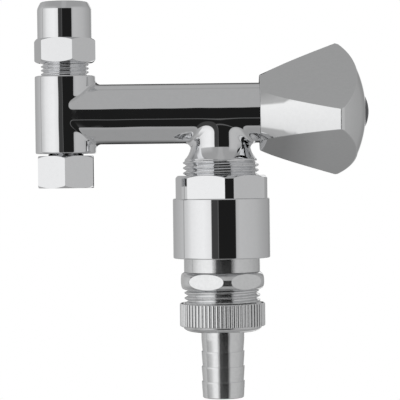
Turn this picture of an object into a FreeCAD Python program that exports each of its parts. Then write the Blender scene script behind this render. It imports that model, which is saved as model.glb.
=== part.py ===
import FreeCAD, Part
import math
import os

from FreeCAD import Vector

# Washing machine valve: a chromed brass tee with a tap on its arm, an anti-vacuum check valve
# under the arm and a barbed hose tail. Lengths are in millimetres.
# The origin is the centre of the inlet's sealing face. Up the column is +Z, and along the arm
# towards the handle is +X.

# Pipe threads. A male thread is a plain shank at its root radius, and a female one a plain
# bore just over its major radius, so the room between them is the thread form.
small_thread_radius = 8.33
small_thread_depth = 0.856
large_thread_radius = 13.22
large_thread_depth = 1.162
thread_clearance = 0.1
small_root = small_thread_radius - small_thread_depth
small_bore = small_thread_radius + thread_clearance
large_root = large_thread_radius - large_thread_depth
large_bore = large_thread_radius + thread_clearance

# Clearances between pieces, and the small chamfer on turned edges
seat_gap = 0.05
running_gap = 0.1
slack_gap = 0.25
edge_break = 0.4

# Inlet union: gasket, snap ring and swivel nut on the spigot under the column
inlet_face = 0.0
inlet_gasket_thickness = 1.6
spigot_radius = 6.1
spigot_bore = 4.5
snap_ring_land = 0.3
snap_ring_thickness = 1.2
snap_ring_groove_depth = 0.6
snap_ring_width = 2.1
snap_ring_split = 40.0
inlet_nut_height = 11.2
inlet_nut_flange = 2.0
inlet_nut_wall = 1.07
inlet_nut_relief = 0.3
inlet_nut_turn = 2.1
inlet_nut_show = 0.8

# Cast body: column, arm and flared neck of the spout
column_radius = 10.5
column_shoulder = 3.05
column_fillet = 1.8
arm_inset = 0.1
arm_length = 69.0
neck_inset = 0.1
neck_fillet = 2.2
neck_straight = 0.3
neck_flare_height = 5.4
neck_lip = 0.54
neck_lip_height = 0.5
casting_wall = 4.0
column_floor = 2.5
outlet_setback = 15.15
outlet_bore = 6.2
spout_thread_length = 12.5
spout_wall = 3.45
spout_bore_depth = 9.5

# Compression outlet on top of the column, for a 10 mm tube
tube_radius = 5.0
tube_clearance = 0.1
tube_socket_depth = 10.0
stub_length = 10.5
cone_angle = 30.0
cone_height = 3.1
clamp_ring_wall = 1.5
clamp_ring_edge = 0.4
clamp_ring_land = 1.6
compression_nut_lift = 4.6
compression_nut_hex_height = 8.4
compression_nut_height = 21.1
compression_nut_wall = 1.17
compression_nut_turn = 17.5
compression_sleeve_wall = 0.97
compression_sleeve_chamfer = 1.2
compression_sleeve_chamfer_height = 2.4

# Tap headwork in the arm: seat, carrier, guide body and spindle
seat_depth = 22.0
seat_bore = 4.5
seat_height = 1.4
seat_lip = 1.3
seat_wall = 2.6
chamber_wall = 2.8
washer_thickness = 2.9
washer_radius = 5.7
washer_screw_radius = 1.5
washer_screw_head_radius = 2.9
washer_screw_head = 1.4
carrier_rim = 0.7
carrier_cup = 1.9
carrier_disc = 2.0
carrier_length = 16.0
carrier_radius = 5.05
carrier_flats = 8.5
carrier_thread_radius = 3.3
carrier_stroke = 4.5
headwork_reach = 12.5
headwork_nose_length = 2.9
headwork_seal_thickness = 1.0
headwork_flange = 1.4
headwork_flange_inset = 0.6
headwork_hex_flats = 17.0
headwork_hex_height = 5.6
headwork_neck_radius = 6.4
headwork_neck_length = 7.0
guide_depth = 17.5
spindle_radius = 3.6
spindle_collar = 1.8
spindle_collar_width = 0.6
spindle_drive_flats = 5.4
spindle_drive_gap = 2.0
spindle_drive_length = 8.0
spindle_o_ring_radius = 0.5
spindle_o_ring_first = 3.0
spindle_o_ring_step = 3.2
spindle_o_ring_count = 2
circlip_thickness = 0.8
circlip_width = 1.6
circlip_split = 60.0

# Three-lobed handle, die-cast hollow, with a hub and a rib to each lobe
handle_overlap = 1.5
handle_skirt_gap = 0.8
handle_rim = 1.9
handle_length = 26.8
handle_lobe_radius = 25.0
handle_lobe_count = 3
handle_lobe_turn = 7.6
handle_facet_rim = 1.27
handle_facet_lobe = 15.45
handle_dome_height = 10.1
handle_bevel = 1.15
handle_bevel_inset = 0.55
handle_edge = 0.4
handle_wall = 2.2
handle_hub_radius = 6.6
handle_rib = 1.8
handle_web = 1.6
handle_screw_radius = 1.6
handle_screw_head_radius = 3.3
handle_screw_head = 2.4
handle_screw_depth = 9.0
index_cap_radius = 5.4
index_cap_depth = 2.6
index_cap_stand = 0.95
index_cap_crown = 1.3
index_cap_plug = 2.5

# Anti-vacuum check valve under the spout
housing_engagement = 6.95
housing_height = 28.65
housing_hex_height = 7.95
housing_hex_wall = 1.68
housing_hex_turn = 9.6
housing_hex_step = 0.35
housing_wall = 1.95
housing_web = 2.0
housing_air_gap = 1.68
spout_gasket_thickness = 2.0
nipple_gasket_thickness = 0.8
nipple_neck_radius = 11.9
nipple_neck_length = 9.8
nipple_neck_wall = 2.2
nipple_collar_length = 10.7
nipple_barrel_stand = 2.03
nipple_barrel_set = 0.42
nipple_barrel_flat = 0.63
nipple_barrel_height = 6.2
nipple_barrel_turn = 6.5
nipple_thread_length = 8.9
nipple_bore = 8.2
air_hole_radius = 1.0
air_hole_count = 6
air_hole_drop = 1.65
membrane_wall = 0.7
membrane_length = 7.0
membrane_flange = 0.8
cartridge_flange = 1.2
cartridge_wall = 1.65
cartridge_length = 10.5
cartridge_seat_overlap = 1.3
cartridge_seat_thickness = 2.0
cartridge_spider = 1.5
cartridge_o_ring_radius = 0.6
cartridge_o_ring_drop = 3.0
spider_hole_radius = 1.5
spider_hole_inset = 0.8
spider_hole_count = 6
poppet_flow_gap = 1.0
poppet_disc = 1.2
poppet_boss_radius = 2.9
poppet_seal_thickness = 1.7
poppet_stem_radius = 1.2
spring_coil_radius = 3.3
spring_wire_radius = 0.35
spring_turns = 3

# Hose connection: knurled nut, gasket and barbed tail
hose_nut_engagement = 4.3
hose_nut_wall = 1.53
hose_nut_knurl_depth = 0.55
hose_nut_knurl_count = 62
hose_nut_foot_height = 1.9
hose_nut_foot_inset = 1.15
hose_nut_foot_round = 4.0
hose_nut_floor = 2.0
hose_gasket_thickness = 1.75
hose_flange_thickness = 1.75
hose_flange_gap = 0.62
hose_tail_radius = 7.46
hose_tail_bore = 5.3
hose_tail_length = 23.1
barb_height = 0.34
barb_count = 3
barb_pitch = 5.22
barb_first = 6.93
barb_land = 0.5

hex_chamfer_angle = 30.0
turn = 360.0
half_turn = 180.0
quarter_turn = 90.0

# Radii that several pieces share
arm_radius = column_radius - arm_inset
neck_radius = arm_radius - neck_inset
spout_bore = large_root - spout_wall
tube_socket = tube_radius + tube_clearance
cone_slope = math.tan(math.radians(cone_angle))
cone_radius = tube_socket + cone_height * cone_slope
clamp_ring_radius = tube_socket + clamp_ring_wall
clamp_ring_edge_radius = tube_socket + clamp_ring_edge
headwork_flange_radius = arm_radius - headwork_flange_inset
handle_cavity_radius = arm_radius + handle_skirt_gap
handle_base_radius = handle_cavity_radius + handle_rim
handle_facet_base = handle_cavity_radius + handle_facet_rim
housing_chamber_radius = nipple_neck_radius + running_gap
housing_skirt_bore = large_thread_radius + housing_air_gap
housing_sleeve_radius = housing_skirt_bore + housing_wall
cartridge_hole = nipple_neck_radius - nipple_neck_wall
cartridge_radius = cartridge_hole - running_gap - seat_gap
cartridge_flange_radius = nipple_neck_radius - edge_break
cartridge_bore = cartridge_radius - cartridge_wall
poppet_radius = cartridge_bore - poppet_flow_gap
cartridge_seat_radius = poppet_radius - cartridge_seat_overlap
hose_nut_radius = large_bore + hose_nut_wall
hose_flange_radius = large_bore - hose_flange_gap

# Heights that several pieces share
snap_ring_low = inlet_face + inlet_gasket_thickness + snap_ring_land
snap_ring_high = snap_ring_low + snap_ring_thickness
inlet_nut_seat = snap_ring_high + running_gap
inlet_nut_top = inlet_nut_seat + inlet_nut_flange
column_low = inlet_nut_top + inlet_nut_show
arm_z = column_low + column_shoulder + arm_radius
column_high = arm_z + arm_radius + column_shoulder
stub_top = column_high + stub_length
clamp_ring_low = stub_top - (cone_radius - clamp_ring_edge_radius) / cone_slope + slack_gap
clamp_ring_taper = (clamp_ring_radius - clamp_ring_edge_radius) / cone_slope
clamp_ring_high = clamp_ring_low + 2 * clamp_ring_taper + clamp_ring_land
flare_top = arm_z - arm_radius - neck_straight
flare_end = flare_top - neck_flare_height
spout_end = flare_end - spout_thread_length
housing_top = spout_end + housing_engagement
housing_end = housing_top - housing_height
housing_seat = spout_end - spout_gasket_thickness
housing_floor = housing_seat - housing_web
cartridge_top = housing_floor - nipple_gasket_thickness
nipple_top = cartridge_top - cartridge_flange
nipple_shoulder = nipple_top - nipple_neck_length
nipple_collar_end = nipple_shoulder - nipple_collar_length
nipple_barrel_end = nipple_collar_end - nipple_barrel_height
nipple_end = nipple_barrel_end - nipple_thread_length
cartridge_end = nipple_top - cartridge_length
membrane_seat = cartridge_end - seat_gap - membrane_flange
cartridge_seat = cartridge_top - cartridge_seat_thickness
poppet_top = cartridge_seat - seat_gap - poppet_seal_thickness
poppet_low = poppet_top - poppet_disc
spider_top = cartridge_end + cartridge_spider
hose_gasket_top = nipple_end - seat_gap
hose_flange_top = hose_gasket_top - hose_gasket_thickness
hose_flange_low = hose_flange_top - hose_flange_thickness
hose_nut_top = nipple_end + hose_nut_engagement
hose_nut_seat = hose_flange_low - seat_gap
hose_nut_bottom = hose_nut_seat - hose_nut_floor
hose_tail_end = hose_nut_bottom - hose_tail_length

# Turn of the handle's first flat, which lies before the front lobe
handle_first_flat = handle_lobe_turn - quarter_turn - half_turn / handle_lobe_count

# Places along the arm that several pieces share
seat_x = arm_length - seat_depth
outlet_x = arm_length - outlet_setback
washer_x = seat_x + seat_gap
cup_floor_x = washer_x + washer_thickness
carrier_stem_x = cup_floor_x + carrier_disc
carrier_end_x = cup_floor_x + carrier_length
headwork_nose_x = arm_length - headwork_reach
headwork_thread_x = headwork_nose_x + headwork_nose_length
guide_end_x = headwork_nose_x + guide_depth
headwork_seat_x = arm_length + headwork_seal_thickness
headwork_hex_x = headwork_seat_x + headwork_flange
headwork_neck_x = headwork_hex_x + headwork_hex_height
headwork_end_x = headwork_neck_x + headwork_neck_length
spindle_start_x = carrier_stem_x + carrier_disc + carrier_stroke + slack_gap
circlip_x = headwork_end_x + running_gap
spindle_drive_x = headwork_end_x + spindle_drive_gap
spindle_end_x = spindle_drive_x + spindle_drive_length
handle_base_x = arm_length - handle_overlap
handle_lobe_x = handle_base_x + handle_length
handle_dome_x = handle_lobe_x + handle_dome_height
handle_cavity_x = headwork_neck_x + handle_overlap
handle_hub_x = spindle_drive_x + slack_gap
handle_web_x = spindle_end_x + slack_gap
handle_counterbore_x = handle_web_x + handle_web
index_cap_x = handle_dome_x - index_cap_depth


def half_section(steps, centre_x=0.0):
    """Closed face of radius and height. A step is a corner, or the point that an arc passes and its end."""

    def place(point):
        return Vector(centre_x + point[0], 0, point[1])

    here = place(steps[0])
    edges = []
    for step in [*steps[1:], steps[0]]:
        if isinstance(step[0], tuple):
            there = place(step[1])
            edges.append(Part.Arc(here, place(step[0]), there).toShape())
        else:
            there = place(step)
            edges.append(Part.LineSegment(here, there).toShape())
        here = there
    return Part.Face(Part.Wire(edges))


def turned(steps, centre_x=0.0):
    """Solid turned about the upright axis at centre_x."""
    face = half_section(steps, centre_x)
    return face.revolve(Vector(centre_x, 0, 0), Vector(0, 0, 1), turn)


def rod(radius, low, high, centre_x=0.0):
    return Part.makeCylinder(radius, high - low, Vector(centre_x, 0, low))


def ring(inner, outer, low, high, centre_x=0.0):
    return rod(outer, low, high, centre_x).cut(rod(inner, low, high, centre_x))


def along_arm(shape):
    """Lays an upright shape down, so that its heights become distances along the arm."""
    laid = shape.copy()
    laid.rotate(Vector(0, 0, 0), Vector(0, 1, 0), quarter_turn)
    laid.translate(Vector(0, 0, arm_z))
    return laid


def around(shape, count, centre_x=0.0):
    """Copies of shape, evenly turned about the upright axis at centre_x."""
    copies = []
    for index in range(count):
        copy = shape.copy()
        copy.rotate(Vector(centre_x, 0, 0), Vector(0, 0, 1), turn * index / count)
        copies.append(copy)
    return copies


def polygon_bar(corners, low, high):
    base = [Vector(x, y, low) for x, y in corners]
    face = Part.Face(Part.makePolygon([*base, base[0]]))
    return face.extrude(Vector(0, 0, high - low))


def hex_corners(flats, corner_turn, centre_x):
    """Corners of a hexagon with one corner turned by corner_turn from the front, towards +X."""
    radius = flats / math.sqrt(3)
    angles = [math.radians(corner_turn - quarter_turn + turn * side / 6) for side in range(6)]
    return [(centre_x + radius * math.cos(a), radius * math.sin(a)) for a in angles]


def hexagon(flats, corner_turn, low, high, centre_x=0.0):
    return polygon_bar(hex_corners(flats, corner_turn, centre_x), low, high)


def chamfered_hexagon(flats, corner_turn, low, high, centre_x=0.0):
    """Hexagon whose corners are turned off at both ends."""
    inner = flats / 2
    outer = flats / math.sqrt(3)
    drop = (outer - inner) * math.tan(math.radians(hex_chamfer_angle))
    blank = [(0, low), (inner, low), (outer, low + drop), (outer, high - drop), (inner, high), (0, high)]
    return hexagon(flats, corner_turn, low, high, centre_x).common(turned(blank, centre_x))


def split_ring(inner, outer, low, high, gap_angle):
    """Flat ring with a gap, as a snap ring or circlip has."""
    reach = outer * 2
    half_gap = math.radians(gap_angle / 2)
    wedge = [(0, 0), (reach, -reach * math.tan(half_gap)), (reach, reach * math.tan(half_gap))]
    return ring(inner, outer, low, high).cut(polygon_bar(wedge, low, high))


def flatted(radius, flats, low, high):
    """Rod with two flats that keep it from turning."""
    slab = Part.makeBox(radius * 2, flats, high - low, Vector(-radius, -flats / 2, low))
    return rod(radius, low, high).common(slab)


def square_bar(flats, low, high):
    return Part.makeBox(flats, flats, high - low, Vector(-flats / 2, -flats / 2, low))


def edges_on(shape, first, second):
    """Edges that lie on two surfaces, each given by a point's distance from it."""

    def lies(edge):
        span = edge.LastParameter - edge.FirstParameter
        points = [edge.valueAt(edge.FirstParameter + span * share) for share in (0.1, 0.5, 0.9)]
        return all(abs(first(p)) < 1e-3 and abs(second(p)) < 1e-3 for p in points)

    return [edge for edge in shape.Edges if lies(edge)]


def cast_skin():
    """Column, arm and flared neck, blended where they meet."""

    def off_column(point):
        return math.hypot(point.x, point.y) - column_radius

    def off_arm(point):
        return math.hypot(point.y, point.z - arm_z) - arm_radius

    def off_neck(point):
        return math.hypot(point.x - outlet_x, point.y) - neck_radius

    column = turned([
        (0, column_low), (column_radius - edge_break, column_low),
        (column_radius, column_low + edge_break), (column_radius, column_high - edge_break),
        (column_radius - edge_break, column_high), (0, column_high),
    ])
    arm = along_arm(turned([
        (0, 0), (arm_radius, 0), (arm_radius, arm_length - edge_break),
        (arm_radius - edge_break, arm_length), (0, arm_length),
    ]))
    lip_radius = large_root + neck_lip
    lip_low = flare_end - neck_lip_height
    flare_out = lip_radius - neck_radius
    flare_radius = (neck_flare_height ** 2 + flare_out ** 2) / (2 * flare_out)
    half_flare = neck_flare_height / 2
    bulge = flare_radius - math.sqrt(flare_radius ** 2 - half_flare ** 2)
    neck = turned([
        (0, arm_z), (neck_radius, arm_z), (neck_radius, flare_top),
        ((neck_radius + bulge, flare_top - half_flare), (lip_radius, flare_end)),
        (lip_radius, lip_low), (0, lip_low),
    ], outlet_x)
    tee = column.fuse(arm).removeSplitter()
    tee = tee.makeFillet(column_fillet, edges_on(tee, off_column, off_arm))
    skin = tee.fuse(neck).removeSplitter()
    return skin.makeFillet(neck_fillet, edges_on(skin, off_arm, off_neck))


def column_hollow():
    """Waterway up the column, with the tube's socket and the clamp ring's cone at its top."""
    spigot_end = inlet_face + inlet_gasket_thickness
    floor = column_low + column_floor
    roof = column_high - column_floor
    waterway = column_radius - casting_wall
    stop = stub_top - tube_socket_depth
    return turned([
        (0, spigot_end), (spigot_bore, spigot_end), (spigot_bore, floor), (waterway, floor),
        (waterway, roof), (spigot_bore, roof), (spigot_bore, stop), (tube_socket, stop),
        (tube_socket, stub_top - cone_height), (cone_radius, stub_top), (0, stub_top),
    ])


def arm_hollow():
    """Waterway along the arm, the seat that stands in its chamber, and the bore for the headwork."""
    lip = seat_bore + seat_lip
    lip_foot = seat_x - seat_height
    partition = lip_foot - seat_wall
    waterway = arm_radius - casting_wall
    chamber = arm_radius - chamber_wall
    return along_arm(turned([
        (0, 0), (waterway, 0), (waterway, partition), (seat_bore, partition), (seat_bore, seat_x),
        (lip, seat_x), (lip, lip_foot), (chamber, lip_foot), (chamber, headwork_thread_x),
        (small_bore, headwork_thread_x), (small_bore, arm_length), (0, arm_length),
    ]))


def spout_hollow():
    step = spout_end + spout_bore_depth
    drop = turned([
        (0, arm_z), (outlet_bore, arm_z), (outlet_bore, step), (spout_bore, step),
        (spout_bore, spout_end), (0, spout_end),
    ], outlet_x)
    seat_tube = along_arm(rod(seat_bore + seat_lip, seat_x - seat_height, seat_x))
    return drop.cut(seat_tube)


def valve_body():
    spigot_end = inlet_face + inlet_gasket_thickness
    groove_floor = spigot_radius - snap_ring_groove_depth
    spigot = turned([
        (0, spigot_end), (spigot_radius, spigot_end), (spigot_radius, snap_ring_low),
        (groove_floor, snap_ring_low), (groove_floor, snap_ring_high),
        (spigot_radius, snap_ring_high), (spigot_radius, column_low), (0, column_low),
    ])
    stub = turned([
        (0, column_high), (small_root, column_high), (small_root, stub_top - edge_break),
        (small_root - edge_break, stub_top), (0, stub_top),
    ])
    shank = turned([
        (0, flare_end), (large_root, flare_end), (large_root, spout_end + edge_break),
        (large_root - edge_break, spout_end), (0, spout_end),
    ], outlet_x)
    solid = cast_skin().fuse([spigot, stub, shank]).removeSplitter()
    return solid.cut([column_hollow(), arm_hollow(), spout_hollow()])


def inlet_nut():
    low = inlet_nut_top - inlet_nut_height
    relief = small_bore + inlet_nut_relief
    neck_hole = spigot_radius + slack_gap
    flats = 2 * (small_bore + inlet_nut_wall)
    hole = turned([
        (0, low), (small_bore + edge_break, low), (small_bore, low + edge_break),
        (small_bore, inlet_face), (relief, inlet_face), (relief, inlet_nut_seat),
        (neck_hole, inlet_nut_seat), (neck_hole, inlet_nut_top), (0, inlet_nut_top),
    ])
    return chamfered_hexagon(flats, inlet_nut_turn, low, inlet_nut_top).cut(hole)


def inlet_snap_ring():
    inner = spigot_radius - snap_ring_groove_depth + seat_gap
    low = snap_ring_low + seat_gap
    high = snap_ring_high - seat_gap
    return split_ring(inner, inner + snap_ring_width, low, high, snap_ring_split)


def inlet_gasket():
    outer = small_thread_radius - slack_gap
    return ring(spigot_bore + running_gap, outer, inlet_face, inlet_face + inlet_gasket_thickness)


def clamp_ring():
    return turned([
        (tube_socket, clamp_ring_low), (clamp_ring_edge_radius, clamp_ring_low),
        (clamp_ring_radius, clamp_ring_low + clamp_ring_taper),
        (clamp_ring_radius, clamp_ring_high - clamp_ring_taper),
        (clamp_ring_edge_radius, clamp_ring_high), (tube_socket, clamp_ring_high),
    ])


def compression_nut():
    """Hexagon under a long sleeve, with a cone inside that presses on the clamp ring."""
    low = column_high + compression_nut_lift
    high = low + compression_nut_height
    cone_top = clamp_ring_high + slack_gap + clamp_ring_edge / cone_slope
    cone_low = cone_top - cone_height
    outer = small_bore + compression_sleeve_wall
    sleeve = turned([
        (0, low), (outer - edge_break, low), (outer, low + edge_break),
        (outer, high - compression_sleeve_chamfer_height),
        (outer - compression_sleeve_chamfer, high), (0, high),
    ])
    flats = 2 * (small_bore + compression_nut_wall)
    hex_top = low + compression_nut_hex_height
    spanner_hex = chamfered_hexagon(flats, compression_nut_turn, low, hex_top)
    hole = turned([
        (0, low), (small_bore + edge_break, low), (small_bore, low + edge_break),
        (small_bore, cone_low), (cone_radius, cone_low), (tube_socket, cone_top),
        (tube_socket, high - edge_break), (tube_socket + edge_break, high), (0, high),
    ])
    return sleeve.fuse(spanner_hex).removeSplitter().cut(hole)


def seat_washer():
    hole = washer_screw_radius + running_gap
    return along_arm(ring(hole, washer_radius, washer_x, cup_floor_x - seat_gap))


def washer_screw():
    head_x = washer_x - washer_screw_head
    seat = washer_x - seat_gap
    return along_arm(turned([
        (0, head_x), (washer_screw_head_radius, head_x), (washer_screw_head_radius, seat),
        (washer_screw_radius, seat), (washer_screw_radius, carrier_stem_x), (0, carrier_stem_x),
    ]))


def valve_carrier():
    """Cup for the washer on a flatted stem, which the spindle's thread draws along."""
    cup_x = cup_floor_x - carrier_cup
    cup_bore = washer_radius + running_gap
    cup = rod(cup_bore + carrier_rim, cup_x, carrier_stem_x).cut(rod(cup_bore, cup_x, cup_floor_x))
    stem = flatted(carrier_radius, carrier_flats, cup_floor_x, carrier_end_x)
    screw_hole = rod(washer_screw_radius + running_gap, cup_floor_x, carrier_stem_x + slack_gap)
    thread_hole = rod(carrier_thread_radius, carrier_stem_x + carrier_disc, carrier_end_x)
    return along_arm(cup.fuse(stem).removeSplitter().cut([screw_hole, thread_hole]))


def headwork_body():
    """Brass guide for the carrier and bearing for the spindle, screwed into the arm's end."""
    nose = small_root - slack_gap
    shell = turned([
        (0, headwork_nose_x), (nose, headwork_nose_x), (nose, headwork_thread_x),
        (small_root, headwork_thread_x), (small_root, headwork_seat_x),
        (headwork_flange_radius, headwork_seat_x), (headwork_flange_radius, headwork_hex_x),
        (headwork_neck_radius, headwork_hex_x), (headwork_neck_radius, headwork_end_x),
        (0, headwork_end_x),
    ])
    spanner_hex = chamfered_hexagon(headwork_hex_flats, 0, headwork_seat_x, headwork_neck_x)
    guide_flats = carrier_flats + 2 * running_gap
    guide = flatted(carrier_radius + running_gap, guide_flats, headwork_nose_x, guide_end_x)
    spindle_hole = rod(spindle_radius + running_gap, guide_end_x, headwork_end_x)
    return along_arm(shell.fuse(spanner_hex).removeSplitter().cut([guide, spindle_hole]))


def headwork_seal():
    inner = small_root + running_gap
    outer = headwork_flange_radius - slack_gap
    return along_arm(ring(inner, outer, arm_length, headwork_seat_x))


def spindle_o_ring_places():
    first = guide_end_x + spindle_o_ring_first
    return [first + spindle_o_ring_step * index for index in range(spindle_o_ring_count)]


def spindle_groove_floor():
    return spindle_radius + running_gap - 2 * (spindle_o_ring_radius + seat_gap)


def spindle_o_rings():
    middle = spindle_groove_floor() + seat_gap + spindle_o_ring_radius
    places = [Vector(0, 0, x) for x in spindle_o_ring_places()]
    rings = [Part.makeTorus(middle, spindle_o_ring_radius, place) for place in places]
    return along_arm(Part.makeCompound(rings))


def circlip_groove_floor():
    """Deep enough for the clip to pass over the square drive's flats."""
    return spindle_drive_flats / 2


def spindle():
    """Screw end in the carrier, collar, sealed shaft and square drive for the handle."""
    screw_radius = carrier_thread_radius - running_gap
    collar_radius = spindle_radius + spindle_collar_width
    collar_end = guide_end_x - running_gap
    collar_start = collar_end - spindle_collar
    shaft = turned([
        (0, spindle_start_x), (screw_radius, spindle_start_x), (screw_radius, collar_start),
        (collar_radius, collar_start), (collar_radius, collar_end), (spindle_radius, collar_end),
        (spindle_radius, spindle_drive_x), (0, spindle_drive_x),
    ])
    drive = rod(spindle_radius, spindle_drive_x, spindle_end_x)
    drive = drive.common(square_bar(spindle_drive_flats, spindle_drive_x, spindle_end_x))
    half_groove = spindle_o_ring_radius + running_gap
    grooves = [
        ring(spindle_groove_floor(), spindle_radius, x - half_groove, x + half_groove)
        for x in spindle_o_ring_places()
    ]
    clip_end = circlip_x + circlip_thickness + running_gap
    grooves.append(ring(circlip_groove_floor(), spindle_radius, headwork_end_x, clip_end))
    screw_bottom = spindle_end_x - handle_screw_depth
    screw_hole = rod(handle_screw_radius + running_gap, screw_bottom, spindle_end_x)
    return along_arm(shaft.fuse(drive).removeSplitter().cut([*grooves, screw_hole]))


def spindle_circlip():
    inner = circlip_groove_floor() + seat_gap
    clip_end = circlip_x + circlip_thickness
    return along_arm(split_ring(inner, inner + circlip_width, circlip_x, clip_end, circlip_split))


def handle_flat(inset):
    """Block beyond one of the handle's flats. The flat leans out along the arm."""
    lean = (handle_facet_lobe - handle_facet_base) / handle_length
    reach = handle_lobe_radius * 2
    near = handle_facet_base - inset - lean * handle_length
    far = handle_facet_base - inset + lean * handle_length * 2
    near_x = handle_base_x - handle_length
    far_x = handle_base_x + handle_length * 2
    face = half_section([(near, near_x), (far, far_x), (reach, far_x), (reach, near_x)])
    face.translate(Vector(0, -reach, 0))
    return face.extrude(Vector(0, reach * 2, 0))


def handle_form(inset):
    """Flared cone, bevelled at its rim, with a domed end and a flat between each two lobes.

    All of it is drawn in by inset."""
    base = handle_base_radius - inset
    lobe = handle_lobe_radius - inset
    rim = lobe - handle_bevel_inset
    rim_x = handle_lobe_x + handle_bevel
    top = handle_dome_x - inset
    dome_height = top - rim_x
    dome_radius = (dome_height ** 2 + rim ** 2) / (2 * dome_height)
    half_rim = rim / 2
    half_way_up = top - dome_radius + math.sqrt(dome_radius ** 2 - half_rim ** 2)
    blank = turned([
        (0, handle_base_x), (base, handle_base_x), (lobe, handle_lobe_x), (rim, rim_x),
        ((half_rim, half_way_up), (0, top)),
    ])
    form = blank.cut(around(handle_flat(inset), handle_lobe_count))
    form.rotate(Vector(0, 0, 0), Vector(0, 0, 1), handle_first_flat)
    return form


def handle():
    form = handle_form(0)
    corner_edges = [edge for edge in form.Edges if len(form.ancestorsOfType(edge, Part.Face)) == 2]
    rounded = form.makeFillet(handle_edge, corner_edges)
    hub = rod(handle_hub_radius, handle_hub_x, handle_dome_x)
    rib = Part.makeBox(
        handle_lobe_radius, handle_rib, handle_dome_x - handle_hub_x,
        Vector(0, -handle_rib / 2, handle_hub_x),
    )
    rib.rotate(Vector(0, 0, 0), Vector(0, 0, 1), handle_first_flat + half_turn / handle_lobe_count)
    hollow = handle_form(handle_wall).cut([hub, *around(rib, handle_lobe_count)])
    skirt = rod(handle_cavity_radius, handle_base_x, handle_cavity_x)
    drive_hole = square_bar(spindle_drive_flats + 2 * running_gap, handle_hub_x, handle_web_x)
    screw_hole = rod(handle_screw_radius + running_gap, handle_web_x, handle_counterbore_x)
    head_hole = rod(handle_screw_head_radius + slack_gap, handle_counterbore_x, index_cap_x)
    cap_recess = rod(index_cap_radius + running_gap, index_cap_x, handle_dome_x)
    return along_arm(rounded.cut([hollow, skirt, drive_hole, screw_hole, head_hole, cap_recess]))


def handle_screw():
    seat = handle_counterbore_x + seat_gap
    tip = spindle_end_x - handle_screw_depth + running_gap
    head_end = seat + handle_screw_head
    slot_width = handle_screw_radius / 2
    slot_depth = handle_screw_head / 2
    slot = Part.makeBox(
        handle_screw_head_radius * 2, slot_width, slot_depth,
        Vector(-handle_screw_head_radius, -slot_width / 2, head_end - slot_depth),
    )
    screw = turned([
        (0, tip), (handle_screw_radius, tip), (handle_screw_radius, seat),
        (handle_screw_head_radius, seat), (handle_screw_head_radius, head_end), (0, head_end),
    ])
    return along_arm(screw.cut(slot))


def index_cap():
    low = index_cap_x + seat_gap
    top = handle_dome_x + index_cap_stand
    rim = top - index_cap_crown
    plug_end = low - index_cap_plug
    crown_radius = (index_cap_radius ** 2 + index_cap_crown ** 2) / (2 * index_cap_crown)
    half_radius = index_cap_radius / 2
    half_way_up = top - crown_radius + math.sqrt(crown_radius ** 2 - half_radius ** 2)
    return along_arm(turned([
        (0, plug_end), (handle_screw_head_radius, plug_end), (handle_screw_head_radius, low),
        (index_cap_radius, low), (index_cap_radius, rim), ((half_radius, half_way_up), (0, top)),
    ]))


def spout_gasket():
    return ring(spout_bore, large_root, housing_seat, spout_end, outlet_x)


def vent_housing():
    """Hexagon over a long sleeve, turned from one bar, that shelters the air holes."""
    hex_end = housing_top - housing_hex_height
    flat = large_bore + housing_hex_wall
    corner = housing_sleeve_radius - housing_hex_step
    drop = (corner - flat) * math.tan(math.radians(hex_chamfer_angle))
    rounder = turned([
        (0, hex_end), (corner, hex_end), (corner, housing_top - drop), (flat, housing_top),
        (0, housing_top),
    ], outlet_x)
    spanner_hex = hexagon(2 * flat, housing_hex_turn, hex_end, housing_top, outlet_x).common(rounder)
    outer = housing_sleeve_radius
    sleeve = turned([
        (0, housing_end), (outer - edge_break, housing_end), (outer, housing_end + edge_break),
        (outer, hex_end - edge_break), (outer - edge_break, hex_end), (0, hex_end),
    ], outlet_x)
    skirt_top = nipple_shoulder + slack_gap
    hole = turned([
        (0, housing_top), (large_bore + edge_break, housing_top), (large_bore, housing_top - edge_break),
        (large_bore, housing_seat), (spout_bore, housing_seat), (spout_bore, housing_floor),
        (housing_chamber_radius, housing_floor), (housing_chamber_radius, skirt_top),
        (housing_skirt_bore, skirt_top), (housing_skirt_bore, housing_end), (0, housing_end),
    ], outlet_x)
    return spanner_hex.fuse(sleeve).removeSplitter().cut(hole)


def nipple_gasket():
    return ring(spout_bore, cartridge_flange_radius, cartridge_top, housing_floor, outlet_x)


def outlet_nipple():
    """Neck in the housing, collar, barrel with six flats, and the shank for the hose nut."""
    collar = large_thread_radius
    middle = (nipple_collar_end + nipple_barrel_end) / 2
    barrel_edge = collar - nipple_barrel_set
    barrel = turned([
        (0, nipple_collar_end), (barrel_edge, nipple_collar_end),
        ((collar + nipple_barrel_stand, middle), (barrel_edge, nipple_barrel_end)),
        (0, nipple_barrel_end),
    ], outlet_x)
    flats = 2 * (collar + nipple_barrel_flat)
    flats_bar = hexagon(flats, nipple_barrel_turn, nipple_barrel_end, nipple_collar_end, outlet_x)
    spine = turned([
        (0, nipple_top), (nipple_neck_radius, nipple_top), (nipple_neck_radius, nipple_shoulder),
        (collar, nipple_shoulder), (collar, nipple_collar_end), (large_root, nipple_collar_end),
        (large_root, nipple_end + edge_break), (large_root - edge_break, nipple_end), (0, nipple_end),
    ], outlet_x)
    bore = turned([
        (0, nipple_top), (cartridge_hole, nipple_top), (cartridge_hole, membrane_seat),
        (nipple_bore, membrane_seat), (nipple_bore, nipple_end), (0, nipple_end),
    ], outlet_x)
    air_hole_start = Vector(outlet_x, 0, membrane_seat - air_hole_drop)
    air_hole = Part.makeCylinder(air_hole_radius, 2 * collar, air_hole_start, Vector(1, 0, 0))
    air_holes = around(air_hole, air_hole_count, outlet_x)
    return spine.fuse(barrel.common(flats_bar)).removeSplitter().cut([bore, *air_holes])


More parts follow.
